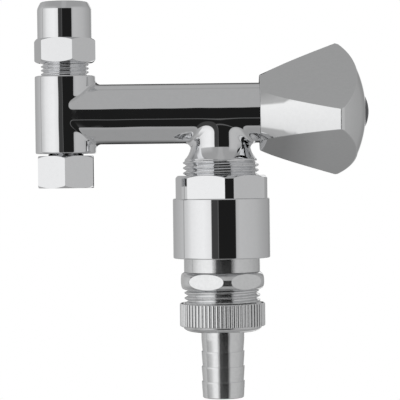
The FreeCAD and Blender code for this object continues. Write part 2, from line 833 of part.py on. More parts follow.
def vent_membrane():
    """Rubber sleeve that lies over the air holes, with a flange that the cartridge holds down."""
    outer = nipple_bore - running_gap
    inner = outer - membrane_wall
    flange = cartridge_radius - slack_gap
    top = membrane_seat + membrane_flange
    low = membrane_seat - membrane_length
    return turned([
        (inner, top), (flange, top), (flange, membrane_seat), (outer, membrane_seat), (outer, low),
        (inner, low),
    ], outlet_x)


def cartridge_groove():
    """Height of the O-ring's middle, and the radius of its groove's floor."""
    floor = cartridge_hole - 2 * (cartridge_o_ring_radius + seat_gap)
    return nipple_top - cartridge_o_ring_drop, floor


def check_valve_housing():
    """Cartridge with a seat at the top, and a spider below that guides the poppet's stem."""
    middle, floor = cartridge_groove()
    groove_top = middle + cartridge_o_ring_radius + running_gap
    groove_low = middle - cartridge_o_ring_radius - running_gap
    shell = turned([
        (cartridge_seat_radius, cartridge_top), (cartridge_flange_radius, cartridge_top),
        (cartridge_flange_radius, nipple_top), (cartridge_radius, nipple_top),
        (cartridge_radius, groove_top), (floor, groove_top), (floor, groove_low),
        (cartridge_radius, groove_low), (cartridge_radius, cartridge_end),
        (cartridge_bore, cartridge_end), (cartridge_bore, cartridge_seat),
        (cartridge_seat_radius, cartridge_seat),
    ], outlet_x)
    spider = rod(cartridge_bore, cartridge_end, spider_top, outlet_x)
    hole_circle = cartridge_bore - spider_hole_inset - spider_hole_radius
    water_hole = rod(spider_hole_radius, cartridge_end, spider_top, outlet_x + hole_circle)
    guide = rod(poppet_stem_radius + running_gap, cartridge_end, spider_top, outlet_x)
    spider = spider.cut([guide, *around(water_hole, spider_hole_count, outlet_x)])
    return shell.fuse(spider).removeSplitter()


def check_valve_o_ring():
    middle, floor = cartridge_groove()
    radius = floor + seat_gap + cartridge_o_ring_radius
    return Part.makeTorus(radius, cartridge_o_ring_radius, Vector(outlet_x, 0, middle))


def poppet_seal():
    inner = poppet_boss_radius + running_gap
    return ring(inner, poppet_radius, poppet_top, poppet_top + poppet_seal_thickness, outlet_x)


def check_poppet():
    boss_top = poppet_top + poppet_seal_thickness
    stem_end = cartridge_end - slack_gap
    return turned([
        (0, boss_top), (poppet_boss_radius, boss_top), (poppet_boss_radius, poppet_top),
        (poppet_radius, poppet_top), (poppet_radius, poppet_low), (poppet_stem_radius, poppet_low),
        (poppet_stem_radius, stem_end), (0, stem_end),
    ], outlet_x)


def check_spring():
    """Round wire wound between the poppet and the spider."""
    low = spider_top + spring_wire_radius + seat_gap
    height = poppet_low - spring_wire_radius - seat_gap - low
    coil = Part.makeHelix(height / spring_turns, height, spring_coil_radius)
    start = Vector(spring_coil_radius, 0, 0)
    section = Part.Wire(Part.makeCircle(spring_wire_radius, start, Vector(0, 1, 0)))
    spring = Part.Wire(coil.Edges).makePipeShell([section], True, True)
    spring.translate(Vector(outlet_x, 0, low))
    return spring


def knurl_corners():
    """Outline of the straight knurl: each ridge has a flat crest and then a V groove."""
    floor = hose_nut_radius - hose_nut_knurl_depth
    corners = []
    for ridge in range(hose_nut_knurl_count):
        for share, radius in ((0.0, hose_nut_radius), (0.5, hose_nut_radius), (0.75, floor)):
            angle = math.radians(turn * (ridge + share) / hose_nut_knurl_count)
            corners.append((outlet_x + radius * math.cos(angle), radius * math.sin(angle)))
    return corners


def hose_nut():
    """Knurled union nut with a smooth rounded foot."""
    knurl_end = hose_nut_bottom + hose_nut_foot_height
    crest = hose_nut_radius
    depth = hose_nut_knurl_depth
    rounder = turned([
        (0, knurl_end), (crest - depth, knurl_end), (crest, knurl_end + depth),
        (crest, hose_nut_top - depth), (crest - depth, hose_nut_top), (0, hose_nut_top),
    ], outlet_x)
    knurl = polygon_bar(knurl_corners(), knurl_end, hose_nut_top).common(rounder)
    foot_radius = crest - hose_nut_foot_inset
    round_share = 1 - math.sqrt(0.5)
    round_middle = (foot_radius - hose_nut_foot_round * round_share,
                    hose_nut_bottom + hose_nut_foot_height * round_share)
    foot = turned([
        (0, knurl_end), (foot_radius, knurl_end),
        (round_middle, (foot_radius - hose_nut_foot_round, hose_nut_bottom)), (0, hose_nut_bottom),
    ], outlet_x)
    tail_hole = hose_tail_radius + slack_gap
    hole = turned([
        (0, hose_nut_top), (large_bore + edge_break, hose_nut_top),
        (large_bore, hose_nut_top - edge_break), (large_bore, hose_nut_seat),
        (tail_hole, hose_nut_seat), (tail_hole, hose_nut_bottom), (0, hose_nut_bottom),
    ], outlet_x)
    return knurl.fuse(foot).removeSplitter().cut(hole)


def hose_gasket():
    inner = hose_tail_bore + slack_gap
    outer = hose_flange_radius - slack_gap
    return ring(inner, outer, hose_flange_top, hose_gasket_top, outlet_x)


def hose_tail():
    """Flange in the nut, and a tail of cones whose sharp edges hold the hose."""
    outer = hose_tail_radius
    waist = outer - barb_height
    steps = [
        (hose_tail_bore, hose_flange_top), (hose_flange_radius, hose_flange_top),
        (hose_flange_radius, hose_flange_low), (outer, hose_flange_low),
    ]
    for index in range(barb_count):
        edge = hose_nut_bottom - barb_first - barb_pitch * index
        steps += [(waist, edge), (outer, edge), (outer, edge - barb_land)]
    steps += [
        (waist, hose_tail_end + edge_break), (waist - edge_break, hose_tail_end),
        (hose_tail_bore, hose_tail_end),
    ]
    return turned(steps, outlet_x)


sub_parts = [
    valve_body, inlet_nut, inlet_snap_ring, inlet_gasket, clamp_ring, compression_nut, seat_washer,
    washer_screw, valve_carrier, headwork_body, headwork_seal, spindle, spindle_o_rings,
    spindle_circlip, handle, handle_screw, index_cap, spout_gasket, vent_housing, nipple_gasket,
    outlet_nipple, vent_membrane, check_valve_housing, check_valve_o_ring, poppet_seal, check_poppet,
    check_spring, hose_nut, hose_gasket, hose_tail,
]

os.makedirs("parts", exist_ok=True)
for make in sub_parts:
    make().exportStep(os.path.join("parts", make.__name__ + ".step"))
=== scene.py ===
from math import atan2, cos, degrees, hypot, pi, radians, sin, sqrt

import bmesh
import bpy
from mathutils import Matrix, Vector


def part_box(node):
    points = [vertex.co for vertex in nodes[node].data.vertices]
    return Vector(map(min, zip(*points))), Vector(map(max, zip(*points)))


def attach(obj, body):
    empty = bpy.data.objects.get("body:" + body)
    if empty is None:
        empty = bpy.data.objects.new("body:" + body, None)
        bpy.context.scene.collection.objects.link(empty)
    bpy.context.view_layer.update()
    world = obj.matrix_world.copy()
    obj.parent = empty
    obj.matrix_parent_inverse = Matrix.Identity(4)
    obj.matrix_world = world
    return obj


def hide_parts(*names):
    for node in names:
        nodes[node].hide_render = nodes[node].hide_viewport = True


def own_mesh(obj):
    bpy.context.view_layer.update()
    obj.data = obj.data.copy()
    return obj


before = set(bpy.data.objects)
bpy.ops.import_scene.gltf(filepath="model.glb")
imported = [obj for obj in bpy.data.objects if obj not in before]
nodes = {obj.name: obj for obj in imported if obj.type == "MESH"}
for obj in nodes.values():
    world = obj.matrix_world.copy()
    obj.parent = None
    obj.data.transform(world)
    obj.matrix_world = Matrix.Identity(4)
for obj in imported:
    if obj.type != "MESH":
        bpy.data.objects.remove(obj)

scene = bpy.context.scene
scene.view_settings.view_transform = "Standard"
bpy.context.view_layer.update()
mm = 0.001
outletX = 53.85  # the check valve and the hose hang under this point of the arm
print("frame loaded:", len(nodes), "nodes")

# camera where the photo was taken from, found from the nuts, the handle and the tail
photoCamera = {
    "place": (0.0516, -0.6869, -0.0030),
    "yaw": 0.43, "pitch": -0.64, "roll": 0.68,
    "lens": 177.75, "sensor": 36.0,
}


def setCamera(c):
    data = bpy.data.cameras.new("photoCamera")
    data.lens = c["lens"]
    data.sensor_width = c["sensor"]
    camera = bpy.data.objects.new("photoCamera", data)
    scene.collection.objects.link(camera)
    level = Matrix.Rotation(radians(90), 3, "X")
    aim = Matrix.Rotation(radians(c["yaw"]), 3, "Z") @ Matrix.Rotation(radians(c["pitch"]), 3, "X")
    aim = aim @ Matrix.Rotation(radians(c["roll"]), 3, "Y") @ level
    camera.matrix_world = Matrix.Translation(c["place"]) @ aim.to_4x4()
    scene.camera = camera


setCamera(photoCamera)


# small node helpers, shared by the studio and the finishes
noiseSpan = (0.3, 0.7)  # most of a noise texture's values lie in here


def newNode(tree, kind, **settings):
    node = tree.nodes.new("ShaderNode" + kind)
    for key, value in settings.items():
        setattr(node, key, value)
    return node


def feed(tree, socket, value):
    if isinstance(value, (int, float)):
        socket.default_value = value
    elif value is not None:
        tree.links.new(value, socket)


def mathNode(tree, operation, first, second=None):
    node = newNode(tree, "Math", operation=operation)
    feed(tree, node.inputs[0], first)
    feed(tree, node.inputs[1], second)
    return node.outputs[0]


def mapNode(tree, value, fromLow, fromHigh, toLow, toHigh, smooth=False):
    node = newNode(tree, "MapRange", interpolation_type="SMOOTHSTEP" if smooth else "LINEAR")
    for socket, number in zip(node.inputs, (value, fromLow, fromHigh, toLow, toHigh)):
        feed(tree, socket, number)
    return node.outputs[0]


def mixLevel(tree, mask, under, over):
    mix = newNode(tree, "Mix", data_type="FLOAT")
    feed(tree, mix.inputs[0], mask)
    feed(tree, mix.inputs[2], under)
    feed(tree, mix.inputs[3], over)
    return mix.outputs[0]


# studio: white all round for the camera, an even fill for the rest
studioWorld = {"fill": 0.85, "white": 1.0}


def lightWorld(w):
    world = bpy.data.worlds.new("studioWorld")
    world.use_nodes = True
    scene.world = world
    tree = world.node_tree
    back = tree.nodes["Background"]
    back.inputs["Color"].default_value = (1, 1, 1, 1)
    path = newNode(tree, "LightPath")
    seen = mathNode(tree, "ADD", path.outputs["Is Camera Ray"], path.outputs["Is Glossy Ray"])
    seen = mathNode(tree, "ADD", seen, path.outputs["Is Transmission Ray"])
    seen = mathNode(tree, "MINIMUM", seen, 1.0)
    feed(tree, back.inputs["Strength"], mapNode(tree, seen, 0.0, 1.0, w["fill"], w["white"]))


lightWorld(studioWorld)

# light tent that the chrome mirrors. Most places are angles in degrees, across from 0 towards the camera
# with plus to its right, and up from the horizon. An Edge is (place, softness), and levels are light given off
lightTent = {
    "radius": 2.0, "centre": (0.045, 0.0, 0.0),
    "wall": (
        (-180, 0.03), (-174.5, 0.03), (-173.8, 0.44), (-150, 0.42), (-120, 0.51), (-102.4, 0.58),
        (-101.6, 0.30), (-100.2, 0.30), (-99.4, 0.66), (-89, 0.75), (-76, 0.95), (-60, 1.03), (-43, 1.06),
        (-33, 1.00), (-22, 0.92), (33, 0.47), (44, 0.563), (77, 0.53), (90, 0.51), (104, 0.465), (121, 0.42),
        (140, 0.38), (152, 0.30), (161, 0.30), (165, 0.90), (173.3, 0.95), (174, 0.03), (180, 0.03),
    ),
    "brightest": 1.1, "wallFoot": -38.0, "wallTop": 34.0, "wallSoft": 14.0,
    # overhead, with a lighter strip that is broken at the back. Its places are parts of the direction's x and y
    "ceiling": 0.385, "ceilingEdge": (0.0, 15.0), "strip": 0.445, "stripHalf": 0.13, "stripSoft": 0.06,
    "stripBreak": (0.25, 0.36), "breakSoft": 0.04,
    # underneath, with another level at the back that changes from left to right, also by x and y
    "ground": 0.355, "behind": (0.231, 0.343), "behindFrom": (-0.0367, -0.0125), "behindEdge": (0.25, 0.35),
    "behindFootEdge": (-53.0, 6.0),
    # white panel on the left with a dim lower corner, and a glow above and below it that the card cuts off
    "panelLeft": -100.0, "panelTop": 19.0, "panelFoot": -37.0, "panelSoft": 3.0, "panelFade": 0.87,
    "panelSideSoft": 0.8, "cornerSideEdge": (-62.0, 14.0), "cornerTopEdge": (-9.5, 2.0), "cornerDim": 0.4,
    "glow": 0.14, "glowFoot": -52.0, "glowTop": 36.0, "glowSoft": 16.0,
    "cutOffFootEdge": (0.0, 8.0), "cutOffSideEdge": (-34.0, 10.0),
    # black card round the camera, with one upright seam and one level one
    "cardLeft": -23.8, "cardRight": 34.0, "cardTop": 19.8, "cardFoot": -52.0, "cardSoft": 1.2,
    "cardDark": 0.0135, "cardGrey": 0.055, "cardStep": 1.0, "seam": 0.13,
    "upright": -7.6, "uprightHalf": 0.8, "uprightSoft": 0.5, "level": -21.0, "levelHalf": 1.3, "levelSoft": 0.8,
}


def edgeMask(tree, value, edge, soft):
    # 0 below the edge and 1 above it, over a soft step
    return mapNode(tree, value, edge - soft, edge + soft, 0.0, 1.0, smooth=True)


def bandMask(tree, value, low, high, soft):
    return mathNode(tree, "SUBTRACT", edgeMask(tree, value, low, soft), edgeMask(tree, value, high, soft))


def both(tree, first, second):
    return mathNode(tree, "MULTIPLY", first, second)


def without(tree, mask):
    return mathNode(tree, "SUBTRACT", 1.0, mask)


def tentLevel(tree, t):
    coords = newNode(tree, "TexCoord")
    fromCentre = newNode(tree, "VectorMath", operation="NORMALIZE")
    tree.links.new(coords.outputs["Object"], fromCentre.inputs[0])
    apart = newNode(tree, "SeparateXYZ")
    tree.links.new(fromCentre.outputs[0], apart.inputs[0])
    x, y, z = apart.outputs
    around = mathNode(tree, "ARCTAN2", x, mathNode(tree, "MULTIPLY", y, -1.0))
    across = mathNode(tree, "MULTIPLY", around, degrees(1))
    up = mathNode(tree, "MULTIPLY", mathNode(tree, "ARCSINE", z), degrees(1))

    ramp = newNode(tree, "ValToRGB")
    marks = ramp.color_ramp.elements
    while len(marks) < len(t["wall"]):
        marks.new(1.0)
    for mark, (place, level) in zip(marks, t["wall"]):
        grey = level / t["brightest"]
        mark.position = (place + 180) / 360
        mark.color = (grey, grey, grey, 1)
    feed(tree, ramp.inputs[0], mapNode(tree, across, -180.0, 180.0, 0.0, 1.0))
    wall = mathNode(tree, "MULTIPLY", ramp.outputs[0], t["brightest"])

    # ground, ceiling, and the wall that ends softly between them
    behind = mapNode(tree, x, *t["behindFrom"], *t["behind"])
    ground = mixLevel(tree, edgeMask(tree, y, *t["behindEdge"]), t["ground"], behind)
    ground = mixLevel(tree, edgeMask(tree, up, *t["behindFootEdge"]), t["ground"], ground)
    strip = bandMask(tree, x, -t["stripHalf"], t["stripHalf"], t["stripSoft"])
    strip = both(tree, strip, without(tree, bandMask(tree, y, *t["stripBreak"], t["breakSoft"])))
    ceiling = mixLevel(tree, strip, t["ceiling"], t["strip"])
    plain = mixLevel(tree, edgeMask(tree, up, *t["ceilingEdge"]), ground, ceiling)
    sides = mixLevel(tree, bandMask(tree, up, t["wallFoot"], t["wallTop"], t["wallSoft"]), plain, wall)

    # the white panel fades downwards, and most in its lower left corner
    panel = bandMask(tree, up, t["panelFoot"], t["panelTop"], t["panelSoft"])
    fade = mapNode(tree, up, t["panelFoot"], t["panelTop"], t["panelFade"], 1.0)
    corner = both(tree, without(tree, edgeMask(tree, across, *t["cornerSideEdge"])),
                  without(tree, edgeMask(tree, up, *t["cornerTopEdge"])))
    fade = both(tree, fade, without(tree, both(tree, corner, t["cornerDim"])))
    glow = both(tree, bandMask(tree, up, t["glowFoot"], t["glowTop"], t["glowSoft"]), t["glow"])
    cutOff = both(tree, edgeMask(tree, up, *t["cutOffFootEdge"]), edgeMask(tree, across, *t["cutOffSideEdge"]))
    glow = both(tree, glow, without(tree, cutOff))
    white = mixLevel(tree, panel, mathNode(tree, "ADD", plain, glow), both(tree, wall, fade))
    inPanel = bandMask(tree, across, t["panelLeft"], t["cardRight"], t["panelSideSoft"])
    level = mixLevel(tree, inPanel, sides, white)

    # the card is dark grey left of its upright seam and black right of it
    right = edgeMask(tree, across, t["upright"], t["cardStep"])
    dark = mixLevel(tree, right, t["cardGrey"], t["cardDark"])
    half = t["uprightHalf"]
    seamUp = bandMask(tree, across, t["upright"] - half, t["upright"] + half, t["uprightSoft"])
    seamUp = both(tree, seamUp, edgeMask(tree, up, t["level"] - t["cardStep"], t["cardStep"]))
    half = t["levelHalf"]
    seamLevel = bandMask(tree, up, t["level"] - half, t["level"] + half, t["levelSoft"])
    seamLevel = both(tree, seamLevel, right)
    dark = mixLevel(tree, mathNode(tree, "MAXIMUM", seamUp, seamLevel), dark, t["seam"])
    card = both(tree, bandMask(tree, across, t["cardLeft"], t["cardRight"], t["cardSoft"]),
                bandMask(tree, up, t["cardFoot"], t["cardTop"], t["cardSoft"]))
    return mixLevel(tree, card, level, dark)


def pitchTent(t):
    mat = bpy.data.materials.new("tentLight")
    mat.use_nodes = True
    tree = mat.node_tree
    tree.nodes.clear()
    light = newNode(tree, "Emission")
    feed(tree, light.inputs["Strength"], tentLevel(tree, t))
    out = newNode(tree, "OutputMaterial")
    tree.links.new(light.outputs[0], out.inputs["Surface"])
    bm = bmesh.new()
    bmesh.ops.create_icosphere(bm, subdivisions=5, radius=t["radius"])
    mesh = bpy.data.meshes.new("lightTent")
    bm.to_mesh(mesh)
    bm.free()
    mesh.materials.append(mat)
    tent = bpy.data.objects.new("lightTent", mesh)
    tent.location = t["centre"]
    scene.collection.objects.link(tent)
    tent.visible_camera = False
    tent.visible_diffuse = False
    tent.visible_transmission = False
    tent.visible_volume_scatter = False
    tent.visible_shadow = False


pitchTent(lightTent)

# pale floor well under the valve, which fades to white, and one soft lamp over the left shoulder
studioFloor = {"radius": 0.9, "centre": (0.045, 0.0, -0.26), "grey": 0.86, "uneven": 0.01, "grain": 60.0,
               "rough": 0.9, "fadeFrom": 0.35}
softLamp = {"place": (-0.55, -0.75, 0.85), "aim": (0.045, 0.0, 0.0), "size": 0.6, "power": 9.0}


def layFloor(f):
    mat = bpy.data.materials.new("floorPaper")
    mat.use_nodes = True
    tree = mat.node_tree
    shader = tree.nodes["Principled BSDF"]
    coords = newNode(tree, "TexCoord")
    away = newNode(tree, "VectorMath", operation="LENGTH")
    tree.links.new(coords.outputs["Object"], away.inputs[0])
    speckle = newNode(tree, "TexNoise")
    speckle.inputs["Scale"].default_value = f["grain"]
    tree.links.new(coords.outputs["Object"], speckle.inputs["Vector"])
    grey = mapNode(tree, speckle.outputs[0], *noiseSpan, f["grey"] - f["uneven"], f["grey"] + f["uneven"])
    tree.links.new(grey, shader.inputs["Base Color"])
    shader.inputs["Roughness"].default_value = f["rough"]
    clear = newNode(tree, "BsdfTransparent")
    mix = newNode(tree, "MixShader")
    fade = mapNode(tree, away.outputs["Value"], f["fadeFrom"], f["radius"], 0.0, 1.0, smooth=True)
    side = newNode(tree, "NewGeometry")  # seen from underneath the paper is clear
    feed(tree, mix.inputs[0], mathNode(tree, "MAXIMUM", fade, side.outputs["Backfacing"]))
    tree.links.new(shader.outputs[0], mix.inputs[1])
    tree.links.new(clear.outputs[0], mix.inputs[2])
    tree.links.new(mix.outputs[0], tree.nodes["Material Output"].inputs["Surface"])
    bm = bmesh.new()
    bmesh.ops.create_circle(bm, cap_ends=True, segments=96, radius=f["radius"])
    mesh = bpy.data.meshes.new("studioFloor")
    bm.to_mesh(mesh)
    bm.free()
    mesh.materials.append(mat)
    floor = bpy.data.objects.new("studioFloor", mesh)
    floor.location = f["centre"]
    floor.visible_glossy = False
    scene.collection.objects.link(floor)


def hangLamp(s):
    data = bpy.data.lights.new("softLamp", "AREA")
    data.size = s["size"]
    data.energy = s["power"]
    lamp = bpy.data.objects.new("softLamp", data)
    aim = Vector(s["aim"]) - Vector(s["place"])
    lamp.matrix_world = Matrix.Translation(s["place"]) @ aim.to_track_quat("-Z", "Y").to_matrix().to_4x4()
    lamp.visible_glossy = False
    scene.collection.objects.link(lamp)


layFloor(studioFloor)
hangLamp(softLamp)
print("studio ready")

# finishes, each with its own grain. Scales are per metre and bumps are in metres
finishLooks = {
    "chrome": {"tints": ((0.815, 0.82, 0.83), (0.835, 0.84, 0.85)), "metal": 1.0, "rough": (0.018, 0.045),
               "grain": 900.0, "waves": 55.0, "waveDepth": 0.00002},
    "castChrome": {"tints": ((0.81, 0.815, 0.825), (0.835, 0.84, 0.85)), "metal": 1.0, "rough": (0.02, 0.055),
                   "grain": 700.0, "waves": 60.0, "waveDepth": 0.0003},
    "turnedChrome": {"tints": ((0.78, 0.785, 0.79), (0.83, 0.835, 0.84)), "metal": 0.97, "rough": (0.04, 0.075),
                     "grain": 900.0, "waves": 70.0, "waveDepth": 0.00003,
                     "rings": 4200.0, "ringDepth": 0.000002, "ringWander": 2.0},
    "handleChrome": {"tints": ((0.79, 0.795, 0.80), (0.815, 0.82, 0.825)), "metal": 1.0, "rough": (0.02, 0.05),
                     "grain": 800.0, "waves": 40.0, "waveDepth": 0.00006,
                     "rim": (0.09414, 0.09446), "rimSoft": 0.00003, "rimRadius": (0.0246, 0.0001),
                     "rimAxis": 0.01945, "rimDull": 0.45},
    "brass": {"tints": ((0.70, 0.53, 0.26), (0.78, 0.62, 0.33)), "metal": 1.0, "rough": (0.18, 0.32),
              "grain": 1500.0, "waves": 300.0, "waveDepth": 0.00001},
    "springSteel": {"tints": ((0.55, 0.55, 0.56), (0.64, 0.64, 0.65)), "metal": 1.0, "rough": (0.2, 0.34),
                    "grain": 1800.0, "waves": 400.0, "waveDepth": 0.00001},
    "rubber": {"tints": ((0.022, 0.022, 0.024), (0.038, 0.038, 0.04)), "metal": 0.0, "rough": (0.55, 0.75),
               "grain": 2500.0, "waves": 900.0, "waveDepth": 0.00002},
    "fibre": {"tints": ((0.16, 0.13, 0.115), (0.22, 0.18, 0.16)), "metal": 0.0, "rough": (0.7, 0.9),
              "grain": 3000.0, "waves": 1500.0, "waveDepth": 0.00003},
    "cartridgePlastic": {"tints": ((0.80, 0.80, 0.77), (0.87, 0.87, 0.84)), "metal": 0.0, "rough": (0.35, 0.5),
                         "grain": 1200.0, "waves": 500.0, "waveDepth": 0.00001},
    "capPlastic": {"tints": ((0.05, 0.051, 0.055), (0.07, 0.071, 0.075)), "metal": 0.0, "rough": (0.3, 0.42),
                   "grain": 1600.0, "waves": 250.0, "waveDepth": 0.00001, "gloss": 0.25},
}


def mixFinish(name, look):
    mat = bpy.data.materials.new(name)
    mat.use_nodes = True
    tree = mat.node_tree
    shader = tree.nodes["Principled BSDF"]
    coords = newNode(tree, "TexCoord")

    def noise(scale, detail):
        texture = newNode(tree, "TexNoise")
        texture.inputs["Scale"].default_value = scale
        texture.inputs["Detail"].default_value = detail
        tree.links.new(coords.outputs["Object"], texture.inputs["Vector"])
        return texture.outputs[0]

    grain = noise(look["grain"], detail=4.0)
    waves = noise(look["waves"], detail=1.0)
    colour = newNode(tree, "Mix", data_type="RGBA")
    feed(tree, colour.inputs[0], mapNode(tree, grain, *noiseSpan, 0.0, 1.0))
    for socket, tint in zip((colour.inputs[6], colour.inputs[7]), look["tints"]):
        socket.default_value = (*tint, 1)
    tree.links.new(colour.outputs[2], shader.inputs["Base Color"])
    rough = mapNode(tree, grain, *noiseSpan, *look["rough"])
    if "rim" in look:  # the thin round at the rim is buffed duller than the faces beside it
        apart = newNode(tree, "SeparateXYZ")
        tree.links.new(coords.outputs["Object"], apart.inputs[0])
        fromAxis = newNode(tree, "VectorMath", operation="MULTIPLY_ADD")
        tree.links.new(coords.outputs["Object"], fromAxis.inputs[0])
        fromAxis.inputs[1].default_value = (0, 1, 1)
        fromAxis.inputs[2].default_value = (0, 0, -look["rimAxis"])
        outward = newNode(tree, "VectorMath", operation="LENGTH")
        tree.links.new(fromAxis.outputs[0], outward.inputs[0])
        rim = both(tree, bandMask(tree, apart.outputs[0], *look["rim"], look["rimSoft"]),
                   edgeMask(tree, outward.outputs["Value"], *look["rimRadius"]))
        rough = mathNode(tree, "ADD", rough, both(tree, rim, look["rimDull"]))
    feed(tree, shader.inputs["Roughness"], rough)
    shader.inputs["Metallic"].default_value = look["metal"]
    shader.inputs["Specular IOR Level"].default_value = look.get("gloss", 0.5)
    bump = newNode(tree, "Bump")
    bump.inputs["Distance"].default_value = look["waveDepth"]
    feed(tree, bump.inputs["Height"], waves)
    if "rings" in look:
        lathe = newNode(tree, "TexWave", bands_direction="Z")
        lathe.inputs["Scale"].default_value = look["rings"]
        lathe.inputs["Distortion"].default_value = look["ringWander"]
        tree.links.new(coords.outputs["Object"], lathe.inputs["Vector"])
        ringBump = newNode(tree, "Bump")
        ringBump.inputs["Distance"].default_value = look["ringDepth"]
        tree.links.new(lathe.outputs[1], ringBump.inputs["Height"])
        tree.links.new(bump.outputs[0], ringBump.inputs["Normal"])
        bump = ringBump
    tree.links.new(bump.outputs[0], shader.inputs["Normal"])
    return mat


finishes = {name: mixFinish(name, look) for name, look in finishLooks.items()}

finishOf = {
    "castChrome": ["valve_body"],
    "chrome": ["inlet_nut", "compression_nut", "vent_housing"],
    "turnedChrome": ["outlet_nipple", "hose_nut", "hose_tail"],
    "handleChrome": ["handle"],
    "brass": ["clamp_ring", "valve_carrier", "washer_screw", "headwork_body", "spindle"],
    "springSteel": ["inlet_snap_ring", "spindle_circlip", "handle_screw", "check_spring"],
    "rubber": ["seat_washer", "spindle_o_rings", "spout_gasket", "nipple_gasket", "vent_membrane",
               "check_valve_o_ring", "poppet_seal", "hose_gasket"],
    "fibre": ["inlet_gasket", "headwork_seal"],
    "cartridgePlastic": ["check_valve_housing", "check_poppet"],
    "capPlastic": ["index_cap"],
}
for finish, names in finishOf.items():
    for name in names:
        nodes[name].data.materials.clear()
        nodes[name].data.materials.append(finishes[finish])
print("finishes ready:", len(finishes))


# pieces made here. Corners are (radius, height) or (radius, height, rounding) in mm about an upright axis
def turnBlank(corners, steps, centreX=0.0):
    bm = bmesh.new()
    wire = [bm.verts.new(((centreX + c[0]) * mm, 0, c[1] * mm)) for c in corners]
    for first, second in zip(wire, wire[1:] + wire[:1]):
        bm.edges.new((first, second))
    for vert, corner in zip(wire, corners):
        if len(corner) > 2:
            bmesh.ops.bevel(bm, geom=[vert], offset=corner[2] * mm, offset_type="OFFSET", segments=4,
                            profile=0.5, affect="VERTICES", material=-1)
    bmesh.ops.spin(bm, geom=bm.verts[:] + bm.edges[:], cent=(centreX * mm, 0, 0), axis=(0, 0, 1),
                   angle=2 * pi, steps=steps, use_merge=True)
    bmesh.ops.remove_doubles(bm, verts=bm.verts[:], dist=1e-7)
    bmesh.ops.recalc_face_normals(bm, faces=bm.faces[:])
    return bm


def cutFlats(bm, apothem, turn, rounding, centreX=0.0):
    # six flats, each cut off the blank, closed again and eased along its rim
    axis = Vector((centreX * mm, 0, 0))
    ways = [radians(turn - 60 + 60 * side) for side in range(6)]
    normals = [Vector((cos(way), sin(way), 0)) for way in ways]
    for normal in normals:
        cut = bmesh.ops.bisect_plane(bm, geom=bm.verts[:] + bm.edges[:] + bm.faces[:], dist=1e-8,
                                     plane_co=axis + normal * apothem * mm, plane_no=normal, clear_outer=True)
        rim = [part for part in cut["geom_cut"] if isinstance(part, bmesh.types.BMEdge)]
        bmesh.ops.edgeloop_fill(bm, edges=rim)
    bmesh.ops.recalc_face_normals(bm, faces=bm.faces[:])
    flats = []
    for face in bm.faces:
        away = max(face.normal.dot(normal) for normal in normals)
        reach = max((face.calc_center_median() - axis).dot(normal) for normal in normals)
        manySided = len(face.verts) > 8  # a cut face, not one of the blank's own quads
        if away > 0.99999 and abs(reach - apothem * mm) < 1e-6 and manySided:
            flats.append(face)
    rims = list({edge for face in flats for edge in face.edges})
    bmesh.ops.bevel(bm, geom=rims, offset=rounding * mm, offset_type="OFFSET", segments=3, profile=0.5,
                    affect="EDGES", clamp_overlap=True, loop_slide=True, material=-1)
    return len(flats)


def joinBlank(bm, other):
    spare = bpy.data.meshes.new("spare")
    other.to_mesh(spare)
    other.free()
    bm.from_mesh(spare)
    bpy.data.meshes.remove(spare)


creaseAngle = 38.0  # an edge that turns more than this stays sharp


def finishPiece(bm, name, finish, body, stands=()):
    mesh = bpy.data.meshes.new(name)
    bm.to_mesh(mesh)
    bm.free()
    mesh.polygons.foreach_set("use_smooth", [True] * len(mesh.polygons))
    mesh.set_sharp_from_angle(angle=radians(creaseAngle))
    mesh.materials.append(finishes[finish])
    obj = bpy.data.objects.new(name, mesh)
    scene.collection.objects.link(obj)
    soft = mesh.attributes.get("softNormal")
    if soft:
        mesh.normals_split_custom_set_from_vertices([tuple(item.vector) for item in soft.data])
    else:
        even = obj.modifiers.new("evenShade", "WEIGHTED_NORMAL")
        even.keep_sharp = True
    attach(obj, body)
    if stands:
        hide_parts(*stands)
    return obj


def heights(node):
    low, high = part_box(node)
    return low[2] / mm, high[2] / mm


